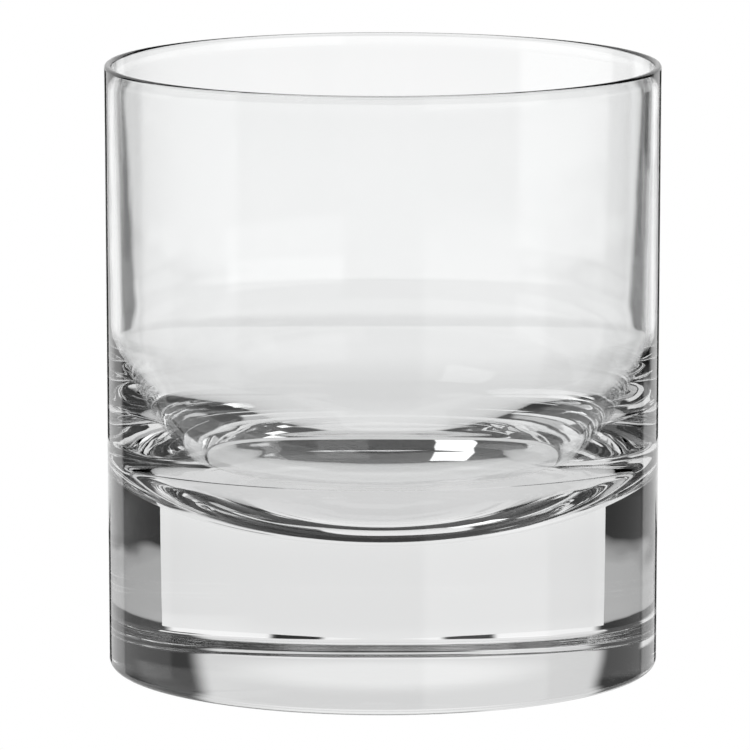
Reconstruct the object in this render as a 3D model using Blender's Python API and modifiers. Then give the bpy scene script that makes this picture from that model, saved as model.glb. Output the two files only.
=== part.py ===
"""A whiskey tumbler: one piece of clear glass with a heavy solid base and a thin drinking wall.

The glass stands on the XY plane with its axis on Z. All lengths are in metres. The whole vessel is one turned
profile, which starts at the middle of the cavity floor, climbs the bowl and the inner wall, rolls over the lip,
comes down the outer wall, rounds the foot and runs along the underside back to the axis.
"""

import math

import bpy

# The outside.
HEIGHT = 0.093
RIM_RADIUS = 0.0425
FOOT_RADIUS = 0.04215
FOOT_ROUND = 0.0013

# The drinking wall.
LIP_WALL = 0.0011
SHOULDER_WALL = 0.0016
SHOULDER_HEIGHT = 0.0543

# The bowl, from the middle out: a wide dish, a bend round it, a tighter corner, and a long curve into the wall.
# Each slope is the angle above level at which one arc hands over to the next. The corner fills what is left.
DISH_RADIUS = 0.0668
DISH_SLOPE = math.radians(15.8)
BEND_RADIUS = 0.0513
BEND_SLOPE = math.radians(33.9)
SHOULDER_RADIUS = 0.0486
SHOULDER_SLOPE = math.radians(67.8)

# The underside: a flat ring to stand on, and a shallow hollow inside it.
PUNT_RADIUS = 0.0322
PUNT_DEPTH = 0.0011
PUNT_POWER = 2.0

# How finely the curves are cut.
SEGMENTS = 72
DISH_STEPS = 5
BEND_STEPS = 5
CORNER_STEPS = 7
SHOULDER_STEPS = 6
LIP_STEPS = 8
FOOT_STEPS = 6
PUNT_STEPS = 8
WALL_STEPS = 3
AXIS_MERGE = 0.00001

GLASS_COLOUR = (0.93, 0.94, 0.94, 1.0)
GLASS_IOR = 1.525


def outer_radius(height):
    """The outer wall leans out a little from the foot to the rim."""
    return FOOT_RADIUS + (RIM_RADIUS - FOOT_RADIUS) * height / HEIGHT


def arc_points(start, radius, first_slope, last_slope, steps):
    """An arc that curls upward from start, where its slope is first_slope, with start left out."""
    start_radius, start_height = start
    points = []
    for step in range(1, steps + 1):
        slope = first_slope + (last_slope - first_slope) * step / steps
        across = radius * (math.sin(slope) - math.sin(first_slope))
        rise = radius * (math.cos(first_slope) - math.cos(slope))
        points.append((start_radius + across, start_height + rise))
    return points


def bowl_points():
    """From the middle of the floor up to the shoulder: four arcs, each tangent to the next."""
    slopes = [0.0, DISH_SLOPE, BEND_SLOPE, SHOULDER_SLOPE, math.pi / 2]
    across = [math.sin(high) - math.sin(low) for low, high in zip(slopes, slopes[1:])]
    rise = [math.cos(low) - math.cos(high) for low, high in zip(slopes, slopes[1:])]
    reach = outer_radius(SHOULDER_HEIGHT) - SHOULDER_WALL
    known = DISH_RADIUS * across[0] + BEND_RADIUS * across[1] + SHOULDER_RADIUS * across[3]
    corner_radius = (reach - known) / across[2]
    radii = [DISH_RADIUS, BEND_RADIUS, corner_radius, SHOULDER_RADIUS]
    steps = [DISH_STEPS, BEND_STEPS, CORNER_STEPS, SHOULDER_STEPS]
    depth = sum(radius * share for radius, share in zip(radii, rise))
    points = [(0.0, SHOULDER_HEIGHT - depth)]
    for index in range(len(radii)):
        points += arc_points(points[-1], radii[index], slopes[index], slopes[index + 1], steps[index])
    return points


def inner_wall_points():
    """Straight up from the shoulder to where the lip starts to round, both ends left out."""
    top_height = HEIGHT - LIP_WALL / 2
    top_radius = outer_radius(top_height) - LIP_WALL
    low_radius = outer_radius(SHOULDER_HEIGHT) - SHOULDER_WALL
    points = []
    for step in range(1, WALL_STEPS):
        share = step / WALL_STEPS
        radius = low_radius + (top_radius - low_radius) * share
        points.append((radius, SHOULDER_HEIGHT + (top_height - SHOULDER_HEIGHT) * share))
    return points


def lip_points():
    """A half circle over the rim, from the inner wall to the outer one."""
    round_radius = LIP_WALL / 2
    middle_height = HEIGHT - round_radius
    middle_radius = outer_radius(middle_height) - round_radius
    points = []
    for step in range(LIP_STEPS + 1):
        angle = math.pi * (1 - step / LIP_STEPS)
        points.append(
            (middle_radius + round_radius * math.cos(angle), middle_height + round_radius * math.sin(angle))
        )
    return points


def foot_points():
    """The rounded outer edge of the foot, from the outer wall to the resting ring."""
    middle_radius = outer_radius(FOOT_ROUND) - FOOT_ROUND
    points = []
    for step in range(FOOT_STEPS + 1):
        angle = math.pi / 2 * step / FOOT_STEPS
        points.append(
            (middle_radius + FOOT_ROUND * math.cos(angle), FOOT_ROUND - FOOT_ROUND * math.sin(angle))
        )
    return points


def punt_points():
    """The underside inside the resting ring, hollowed up towards the axis."""
    points = []
    for step in range(PUNT_STEPS + 1):
        share = 1 - step / PUNT_STEPS
        points.append((PUNT_RADIUS * share, PUNT_DEPTH * (1 - share**PUNT_POWER)))
    return points


def clear_scene():
    for obj in list(bpy.data.objects):
        bpy.data.objects.remove(obj)


def glass_material():
    material = bpy.data.materials.new("clear_glass")
    material.use_nodes = True
    shader = material.node_tree.nodes["Principled BSDF"]
    shader.inputs["Base Color"].default_value = GLASS_COLOUR
    shader.inputs["Roughness"].default_value = 0.0
    shader.inputs["Metallic"].default_value = 0.0
    shader.inputs["IOR"].default_value = GLASS_IOR
    shader.inputs["Transmission Weight"].default_value = 1.0
    return material


def turned(name, profile, material, collection):
    """A profile in the XZ plane spun about Z into one closed solid."""
    mesh = bpy.data.meshes.new(name)
    vertices = [(radius, 0.0, height) for radius, height in profile]
    edges = [(index, index + 1) for index in range(len(vertices) - 1)]
    mesh.from_pydata(vertices, edges, [])
    obj = bpy.data.objects.new(name, mesh)
    collection.objects.link(obj)
    screw = obj.modifiers.new("turn", "SCREW")
    screw.axis = "Z"
    screw.steps = SEGMENTS
    screw.render_steps = SEGMENTS
    screw.use_merge_vertices = True
    screw.merge_threshold = AXIS_MERGE
    screw.use_smooth_shade = True
    obj.data.materials.append(material)
    return obj


def main():
    clear_scene()
    collection = bpy.data.collections.new("whiskey_tumbler")
    bpy.context.scene.collection.children.link(collection)
    profile = bowl_points() + inner_wall_points() + lip_points() + foot_points() + punt_points()
    turned("glass_body", profile, glass_material(), collection)


main()
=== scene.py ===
import math

import bpy
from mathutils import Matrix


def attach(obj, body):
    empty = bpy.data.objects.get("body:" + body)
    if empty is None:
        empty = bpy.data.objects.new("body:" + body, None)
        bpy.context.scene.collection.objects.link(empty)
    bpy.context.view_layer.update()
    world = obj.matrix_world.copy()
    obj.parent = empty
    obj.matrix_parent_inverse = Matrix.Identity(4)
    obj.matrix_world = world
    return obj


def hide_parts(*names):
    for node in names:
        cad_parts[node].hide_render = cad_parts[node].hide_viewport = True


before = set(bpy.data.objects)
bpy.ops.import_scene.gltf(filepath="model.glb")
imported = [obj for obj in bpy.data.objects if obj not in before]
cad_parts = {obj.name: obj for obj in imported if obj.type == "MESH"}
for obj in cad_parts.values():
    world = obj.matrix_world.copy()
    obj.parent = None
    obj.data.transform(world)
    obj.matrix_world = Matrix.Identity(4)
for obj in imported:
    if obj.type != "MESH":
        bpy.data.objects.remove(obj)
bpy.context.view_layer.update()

# The glass, in metres: the same profile as the CAD solid, cut much finer.
HEIGHT = 0.093
RIM_RADIUS = 0.0425
FOOT_RADIUS = 0.04215
FOOT_ROUND = 0.0013
LIP_WALL = 0.0011
SHOULDER_WALL = 0.0016
SHOULDER_HEIGHT = 0.0543
DISH_RADIUS = 0.0668
DISH_SLOPE = math.radians(15.8)
BEND_RADIUS = 0.0513
BEND_SLOPE = math.radians(33.9)
SHOULDER_RADIUS = 0.0486
SHOULDER_SLOPE = math.radians(67.8)
PUNT_RADIUS = 0.0322
PUNT_DEPTH = 0.0011
PUNT_POWER = 2.0

# How finely the profile is cut. The straight runs have points too, so that their smooth shading stays true.
SEGMENTS = 288
BOWL_STEPS = (18, 14, 26, 22)
WALL_STEPS = 24
LIP_STEPS = 20
OUTSIDE_STEPS = 36
FOOT_STEPS = 14
RESTING_RING_SHARES = (0.25, 0.5, 0.75)
PUNT_STEPS = 30

# The glass itself: almost colourless, with a faint swell in its surface.
GLASS_IOR = 1.525
GLASS_TINT = (0.995, 0.997, 0.997, 1.0)
GLASS_TINT_DEEP = (0.975, 0.982, 0.982, 1.0)
SWELL_SIZE = 0.018
SWELL_HEIGHT = 0.00003
SWELL_DETAIL = 2.0
BOUNCES_THROUGH_GLASS = 24
BOUNCES_OFF_GLASS = 16

# Which sockets of a Mix node set to colour are in use.
MIX_FACTOR, MIX_FIRST, MIX_SECOND, MIX_RESULT = 0, 6, 7, 2

# The camera, fitted to the outline of the glass.
CAMERA_BACK = 1.150
CAMERA_HEIGHT = 0.227
CAMERA_PITCH = 9.0
CAMERA_LENS = 364.3
CAMERA_SHIFT = -0.0105

# The floor. The camera sees one white disc, and the glass sees the surfaces above it instead.
STUDIO_FLOOR_RADIUS = 30.0
STUDIO_FLOOR_HEIGHT = -0.0004
TABLE_RADIUS = 0.0435
TABLE_HEIGHT = -0.0002
# The table under the glass gives off less light than the floor: painted shade under the glass.
TABLE_LIGHT = 0.70
DISC_CORNERS = 96

# The near table behind the glass: a wedge that widens from a point, in rows away from the glass.
WEDGE_TIP = 0.0502
WEDGE_SPREAD = 0.9325
WEDGE_WIDEST = math.radians(40)
WEDGE_START = 0.0002
WEDGE_ROW = 0.004
WEDGE_ROWS = 44
WEDGE_COLUMNS = 24
HALVINGS = 40

# The dome of light that the glass sees. Its light is set by direction, to place the light and dark shapes that
# the main camera sees in the glass.
DOME_RADIUS = 50.0
DOME_CENTRE = 0.03
DOME_COLUMNS = 720
# Rows of the dome, in degrees of elevation: (first, step, count). They are closest at its sharpest edges.
DOME_ROWS = [(-89.5, 1.5, 46), (-20.0, 0.25, 31), (-12.2, 0.1, 72), (-5.0, 0.5, 135), (63.0, 1.5, 18)]
ROOM_DARK = 0.045

# Screens on the dome: light, (lowest, highest, edge) and (one side, other side, edge), the angles in degrees.
# The first is a fill. The others are there to lighten the glass as seen from the sides, behind and above.
SIDE_SCREENS = [
    (0.60, (16, 32, 3.0), (88, 106, 4.0)),
    (0.85, (-9.1, 9, 0.6), (-118, -62, 5.0)),
    (0.85, (24, 37, 2.0), (-74, -16, 5.0)),
    (0.85, (13, 23, 2.0), (107, 163, 5.0)),
    (0.90, (-21, -10.5, 1.0), (107, 163, 5.0)),
]
LOW_SCREENS = [
    (0.95, (-37, -17, 1.5), (-74, -16, 5.0)),
    (0.50, (-34, -13.5, 2.0), (-114, -68, 6.0)),
    (0.55, (-41, -21, 2.0), (107, 163, 5.0)),
]


def outer_radius(height):
    """The outer wall leans out a little from the foot to the rim."""
    return FOOT_RADIUS + (RIM_RADIUS - FOOT_RADIUS) * height / HEIGHT


def arc_points(start, radius, first_slope, last_slope, steps):
    """An arc that curls upward from start, where its slope is first_slope, with start left out."""
    points = []
    for step in range(1, steps + 1):
        slope = first_slope + (last_slope - first_slope) * step / steps
        across = radius * (math.sin(slope) - math.sin(first_slope))
        rise = radius * (math.cos(first_slope) - math.cos(slope))
        points.append((start[0] + across, start[1] + rise))
    return points


def bowl_points():
    """From the middle of the floor up to the shoulder: four arcs, each tangent to the next."""
    slopes = [0.0, DISH_SLOPE, BEND_SLOPE, SHOULDER_SLOPE, math.pi / 2]
    across = [math.sin(high) - math.sin(low) for low, high in zip(slopes, slopes[1:])]
    rise = [math.cos(low) - math.cos(high) for low, high in zip(slopes, slopes[1:])]
    reach = outer_radius(SHOULDER_HEIGHT) - SHOULDER_WALL
    known = DISH_RADIUS * across[0] + BEND_RADIUS * across[1] + SHOULDER_RADIUS * across[3]
    corner_radius = (reach - known) / across[2]
    radii = [DISH_RADIUS, BEND_RADIUS, corner_radius, SHOULDER_RADIUS]
    depth = sum(radius * share for radius, share in zip(radii, rise))
    points = [(0.0, SHOULDER_HEIGHT - depth)]
    for index, steps in enumerate(BOWL_STEPS):
        points += arc_points(points[-1], radii[index], slopes[index], slopes[index + 1], steps)
    return points


def wall_points():
    """Up the inside from the shoulder to where the lip starts to round, both ends left out."""
    top_height = HEIGHT - LIP_WALL / 2
    top_radius = outer_radius(top_height) - LIP_WALL
    low_radius = outer_radius(SHOULDER_HEIGHT) - SHOULDER_WALL
    points = []
    for step in range(1, WALL_STEPS):
        share = step / WALL_STEPS
        height = SHOULDER_HEIGHT + (top_height - SHOULDER_HEIGHT) * share
        points.append((low_radius + (top_radius - low_radius) * share, height))
    return points


def lip_points():
    """A half circle over the rim, from the inner wall to the outer one."""
    middle_height = HEIGHT - LIP_WALL / 2
    middle_radius = outer_radius(middle_height) - LIP_WALL / 2
    points = []
    for step in range(LIP_STEPS + 1):
        angle = math.pi * (1 - step / LIP_STEPS)
        across = LIP_WALL / 2 * math.cos(angle)
        points.append((middle_radius + across, middle_height + LIP_WALL / 2 * math.sin(angle)))
    return points


def outside_points():
    """Down the outer wall from the lip to the foot, both ends left out."""
    top_height = HEIGHT - LIP_WALL / 2
    points = []
    for step in range(1, OUTSIDE_STEPS):
        height = top_height + (FOOT_ROUND - top_height) * step / OUTSIDE_STEPS
        points.append((outer_radius(height), height))
    return points


def foot_points():
    """The rounded edge of the foot, then the flat ring that the glass rests on."""
    middle_radius = outer_radius(FOOT_ROUND) - FOOT_ROUND
    points = []
    for step in range(FOOT_STEPS + 1):
        angle = math.pi / 2 * step / FOOT_STEPS
        across = FOOT_ROUND * math.cos(angle)
        points.append((middle_radius + across, FOOT_ROUND - FOOT_ROUND * math.sin(angle)))
    for share in RESTING_RING_SHARES:
        points.append((middle_radius + (PUNT_RADIUS - middle_radius) * share, 0.0))
    return points


def punt_points():
    """The underside inside the resting ring, hollowed up towards the axis."""
    points = []
    for step in range(PUNT_STEPS + 1):
        share = 1 - step / PUNT_STEPS
        points.append((PUNT_RADIUS * share, PUNT_DEPTH * (1 - share**PUNT_POWER)))
    return points


def turned(name, profile, material):
    """A closed profile that starts and ends on the axis, spun about Z."""
    ring_count = len(profile) - 2
    vertices = [(0.0, 0.0, profile[0][1])]
    for radius, height in profile[1:-1]:
        for segment in range(SEGMENTS):
            angle = 2 * math.pi * segment / SEGMENTS
            vertices.append((radius * math.cos(angle), radius * math.sin(angle), height))
    vertices.append((0.0, 0.0, profile[-1][1]))
    last = len(vertices) - 1
    faces = []
    for segment in range(SEGMENTS):
        after = (segment + 1) % SEGMENTS
        faces.append((0, 1 + segment, 1 + after))
        for ring in range(ring_count - 1):
            low = 1 + ring * SEGMENTS
            high = low + SEGMENTS
            faces.append((low + segment, high + segment, high + after, low + after))
        low = 1 + (ring_count - 1) * SEGMENTS
        faces.append((last, low + after, low + segment))
    mesh = bpy.data.meshes.new(name)
    mesh.from_pydata(vertices, [], faces)
    mesh.shade_smooth()
    obj = bpy.data.objects.new(name, mesh)
    bpy.context.scene.collection.objects.link(obj)
    mesh.materials.append(material)
    return obj


def glass_material():
    """Clear glass. Its surface is never quite even, and its thickness has a trace of colour."""
    material = bpy.data.materials.new("clear_glass_look")
    material.use_nodes = True
    nodes = material.node_tree.nodes
    links = material.node_tree.links
    shader = nodes["Principled BSDF"]
    shader.inputs["Roughness"].default_value = 0.0
    shader.inputs["IOR"].default_value = GLASS_IOR
    shader.inputs["Transmission Weight"].default_value = 1.0
    coordinates = nodes.new("ShaderNodeTexCoord")
    swell = nodes.new("ShaderNodeTexNoise")
    swell.inputs["Scale"].default_value = 1 / SWELL_SIZE
    swell.inputs["Detail"].default_value = SWELL_DETAIL
    links.new(coordinates.outputs["Object"], swell.inputs["Vector"])
    bump = nodes.new("ShaderNodeBump")
    bump.inputs["Strength"].default_value = 1.0
    bump.inputs["Distance"].default_value = SWELL_HEIGHT
    links.new(swell.outputs["Fac"], bump.inputs["Height"])
    links.new(bump.outputs["Normal"], shader.inputs["Normal"])
    tint = nodes.new("ShaderNodeMix")
    tint.data_type = "RGBA"
    tint.inputs[MIX_FIRST].default_value = GLASS_TINT
    tint.inputs[MIX_SECOND].default_value = GLASS_TINT_DEEP
    links.new(swell.outputs["Fac"], tint.inputs[MIX_FACTOR])
    links.new(tint.outputs[MIX_RESULT], shader.inputs["Base Color"])
    return material


def smooth(value, low, high):
    """0 up to low, 1 from high on, and an easy curve between."""
    share = min(max((value - low) / (high - low), 0.0), 1.0)
    return share * share * (3 - 2 * share)


def within(value, low, high, soft):
    """1 between low and high, 0 outside, with edges soft wide."""
    half = soft / 2
    return smooth(value, low - half, low + half) * (1 - smooth(value, high - half, high + half))


def toward(value, light, share):
    """value moved the given share of the way to light."""
    return value + (light - value) * share


def hang(value, screens, elevation, azimuth):
    """Hangs plain screens over what is there, one after another."""
    for light, heights, sides in screens:
        value = toward(value, light, within(elevation, *heights) * within(azimuth, *sides))
    return value


def backdrop(value, elevation, azimuth):
    """The pale backdrop behind the glass. It glows in the middle and is bright again near the table."""
    edge = 31 if azimuth > 0 else 41
    share = within(elevation, -14, 25, 3.0) * (1 - smooth(abs(azimuth), edge - 3, edge + 3))
    glow = math.hypot(azimuth / 24, (elevation - 11) / 7)
    bright = max(1 - smooth(glow, 0.5, 1.3), 0.8 * (1 - smooth(elevation, -1, 4)))
    return toward(value, 0.72 + 0.17 * bright, share)


def softboxes(value, elevation, azimuth):
    """A ring of them overhead, which reaches lower behind the glass, and the key on the camera's side."""
    ring_low = 50 + 13 * smooth(abs(azimuth + 4), 8, 24)
    ring = within(elevation, ring_low, 76, 2.0) * (1 - smooth(abs(azimuth), 90, 115))
    key = within(elevation, 24, 42, 0.8) * within(azimuth, -148, -121, 1.5)
    return toward(value, 0.92, ring) + 1.5 * key


def shaded_table_sides(value, elevation, azimuth):
    """The table either side of the glass in painted shade, greyer than behind it, with a painted black gap
    beyond its edge.
    """
    side = abs(azimuth)
    # grey is painted shade on the table's sides.
    grey = (0.40 if azimuth > 0 else 0.45) + 0.12 * smooth(-elevation, 10.2, 11.6)
    value = toward(value, grey, within(elevation, -12.5, -9.95, 0.3) * within(side, 41, 80, 5.0))
    # Painted shade: the gap beyond the table's edge is set black.
    return toward(value, 0.0, within(elevation, -9.95, -9.2, 0.12) * within(side, 30, 80, 3.0))


def table_behind_light_and_shade(value, elevation, azimuth):
    """The table a long way behind the glass, in painted light that is paler as it comes nearer, with a dark
    strip of painted shade either side.
    """
    side = abs(azimuth)
    # far_light is painted light on the far table, paler as it comes nearer.
    far_light = 1.07 - 0.06 * smooth(elevation, -8.3, -6.95) - 0.11 * smooth(elevation, -6.95, -6.6)
    value = toward(value, far_light, within(elevation, -9.15, -5.5, 0.2) * (1 - smooth(side, 26, 31)))
    value = toward(value, 0.98, within(elevation, -14.2, -9.15, 0.2) * (1 - smooth(side, 38, 42)))
    # Painted shade: a dark strip on the table either side of the glass.
    return value * (1 - 0.97 * within(elevation, -13, -5.5, 0.3) * within(side, 8.5, 16.5, 1.5))


def table_below(value, elevation, azimuth):
    """The table as the glass looks down on it, with one shadow on it."""
    share = within(elevation, -42, -13, 1.0) * (1 - smooth(abs(azimuth), 40, 48))
    value = toward(value, 0.86, share)
    return value * (1 - 0.9 * within(elevation, -30, -18, 3.0) * within(azimuth, 17, 30, 4.0))


def room_light(elevation, azimuth):
    """How bright the studio looks to the glass, by degrees. Azimuth 0 is straight behind the glass."""
    value = backdrop(ROOM_DARK, elevation, azimuth)
    value = softboxes(value, elevation, azimuth)
    value = hang(value, SIDE_SCREENS, elevation, azimuth)
    value = shaded_table_sides(value, elevation, azimuth)
    value = table_behind_light_and_shade(value, elevation, azimuth)
    value = table_below(value, elevation, azimuth)
    value = hang(value, LOW_SCREENS, elevation, azimuth)
    return toward(value, 0.86, 1 - smooth(elevation, -44, -40))


def wedge_half_angle(radius):
    """How far round the near table reaches, in radians: it widens from a point behind the glass."""
    low, high = 0.0, WEDGE_WIDEST
    for _ in range(HALVINGS):
        middle = (low + high) / 2
        reach = (radius * math.cos(middle) - WEDGE_TIP) * WEDGE_SPREAD
        if radius * math.sin(middle) < reach:
            low = middle
        else:
            high = middle
    return low


def wedge_light(radius):
    """The near table's painted light and shade: paler far away, and a little paler at its point."""
    return 0.82 + 0.14 * smooth(radius, 0.11, 0.20) + 0.04 * (1 - smooth(radius, 0.052, 0.062))


def lit_mesh(name, vertices, faces, levels):
    """A mesh that only the glass sees. Each point gives the light that levels says."""
    mesh = bpy.data.meshes.new(name)
    mesh.from_pydata(vertices, [], faces)
    attribute = mesh.attributes.new("light", "FLOAT_COLOR", "POINT")
    attribute.data.foreach_set("color", [part for level in levels for part in (level, level, level, 1.0)])
    mesh.materials.append(attribute_emission(name))
    obj = bpy.data.objects.new(name, mesh)
    bpy.context.scene.collection.objects.link(obj)
    obj.visible_camera = False
    return obj


def near_table():
    """The table just behind the glass, in painted shade: a little darker than the far table."""
    vertices = []
    levels = []
    for row in range(WEDGE_ROWS):
        radius = WEDGE_TIP + WEDGE_START + WEDGE_ROW * row
        half = wedge_half_angle(radius)
        for column in range(WEDGE_COLUMNS + 1):
            azimuth = half * (2 * column / WEDGE_COLUMNS - 1)
            vertices.append((radius * math.sin(azimuth), radius * math.cos(azimuth), TABLE_HEIGHT))
            levels.append(wedge_light(radius))
    faces = []
    across = WEDGE_COLUMNS + 1
    for row in range(WEDGE_ROWS - 1):
        for column in range(WEDGE_COLUMNS):
            low = row * across + column
            faces.append((low, low + 1, low + across + 1, low + across))
    return lit_mesh("near_table", vertices, faces, levels)


def attribute_emission(name):
    """A material that gives off the light stored in the mesh."""
    material = bpy.data.materials.new(name)
    material.use_nodes = True
    nodes = material.node_tree.nodes
    nodes.remove(nodes["Principled BSDF"])
    attribute = nodes.new("ShaderNodeAttribute")
    attribute.attribute_name = "light"
    emission = nodes.new("ShaderNodeEmission")
    material.node_tree.links.new(attribute.outputs["Color"], emission.inputs["Color"])
    material.node_tree.links.new(emission.outputs[0], nodes["Material Output"].inputs[0])
    return material


def room_dome():
    """A sphere round everything that only the glass sees, lit point by point."""
    elevations = [first + step * index for first, step, count in DOME_ROWS for index in range(count)]
    vertices = []
    levels = []
    for elevation in elevations:
        tilt = math.radians(elevation)
        ring = DOME_RADIUS * math.cos(tilt)
        for column in range(DOME_COLUMNS):
            azimuth = column * 360 / DOME_COLUMNS - 180
            turn = math.radians(azimuth)
            vertices.append((ring * math.sin(turn), ring * math.cos(turn), DOME_RADIUS * math.sin(tilt)))
            levels.append(room_light(elevation, azimuth))
    faces = []
    for index in range(len(elevations) - 1):
        low = index * DOME_COLUMNS
        high = low + DOME_COLUMNS
        for column in range(DOME_COLUMNS):
            after = (column + 1) % DOME_COLUMNS
            faces.append((low + column, low + after, high + after, high + column))
    dome = lit_mesh("room_light", vertices, faces, levels)
    dome.location = (0.0, 0.0, DOME_CENTRE)
    return dome


def flat_emission(name, level):
    """A material that gives off the same light everywhere."""
    material = bpy.data.materials.new(name)
    material.use_nodes = True
    nodes = material.node_tree.nodes
    nodes.remove(nodes["Principled BSDF"])
    emission = nodes.new("ShaderNodeEmission")
    emission.inputs["Color"].default_value = (level, level, level, 1.0)
    material.node_tree.links.new(emission.outputs[0], nodes["Material Output"].inputs[0])
    return material


def disc(name, radius, height, level):
    """A flat round surface that gives off light, level with the table."""
    vertices = []
    for corner in range(DISC_CORNERS):
        angle = 2 * math.pi * corner / DISC_CORNERS
        vertices.append((radius * math.cos(angle), radius * math.sin(angle), height))
    mesh = bpy.data.meshes.new(name)
    mesh.from_pydata(vertices, [], [tuple(range(DISC_CORNERS))])
    mesh.materials.append(flat_emission(name, level))
    obj = bpy.data.objects.new(name, mesh)
    bpy.context.scene.collection.objects.link(obj)
    return obj


def build_stage():
    """White floor and world for the camera. The glass sees the dome and the two pieces of table instead."""
    dome = room_dome()
    # The table under the glass is dimmer than the floor: painted shade under the glass.
    table = disc("table_under_glass", TABLE_RADIUS, TABLE_HEIGHT, TABLE_LIGHT)
    table.visible_camera = False
    floor = disc("studio_floor", STUDIO_FLOOR_RADIUS, STUDIO_FLOOR_HEIGHT, 1.0)
    floor.visible_transmission = False
    floor.visible_glossy = False
    floor.visible_diffuse = False
    near_table()

    world = bpy.data.worlds.new("white_room")
    world.use_nodes = True
    world.node_tree.nodes["Background"].inputs["Color"].default_value = (1.0, 1.0, 1.0, 1.0)
    bpy.context.scene.world = world


def build_camera():
    data = bpy.data.cameras.new("camera")
    data.sensor_width = 36.0
    data.lens = CAMERA_LENS
    data.shift_x = CAMERA_SHIFT
    data.clip_start = 0.01
    data.clip_end = 100.0
    camera = bpy.data.objects.new("camera", data)
    camera.location = (0.0, -CAMERA_BACK, CAMERA_HEIGHT)
    camera.rotation_euler = (math.radians(90 - CAMERA_PITCH), 0.0, 0.0)
    bpy.context.scene.collection.objects.link(camera)
    bpy.context.scene.camera = camera


def render_settings():
    """Colours as they are, and enough bounces for light to get out of the base."""
    scene = bpy.context.scene
    scene.view_settings.view_transform = "Standard"
    scene.view_settings.look = "None"
    scene.cycles.max_bounces = BOUNCES_THROUGH_GLASS
    scene.cycles.transmission_bounces = BOUNCES_THROUGH_GLASS
    scene.cycles.glossy_bounces = BOUNCES_OFF_GLASS
    scene.cycles.transparent_max_bounces = 8


profile = bowl_points() + wall_points() + lip_points() + outside_points() + foot_points() + punt_points()
glass = turned("tumbler_glass", profile, glass_material())
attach(glass, "root")
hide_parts("glass_body")

build_stage()
build_camera()
render_settings()
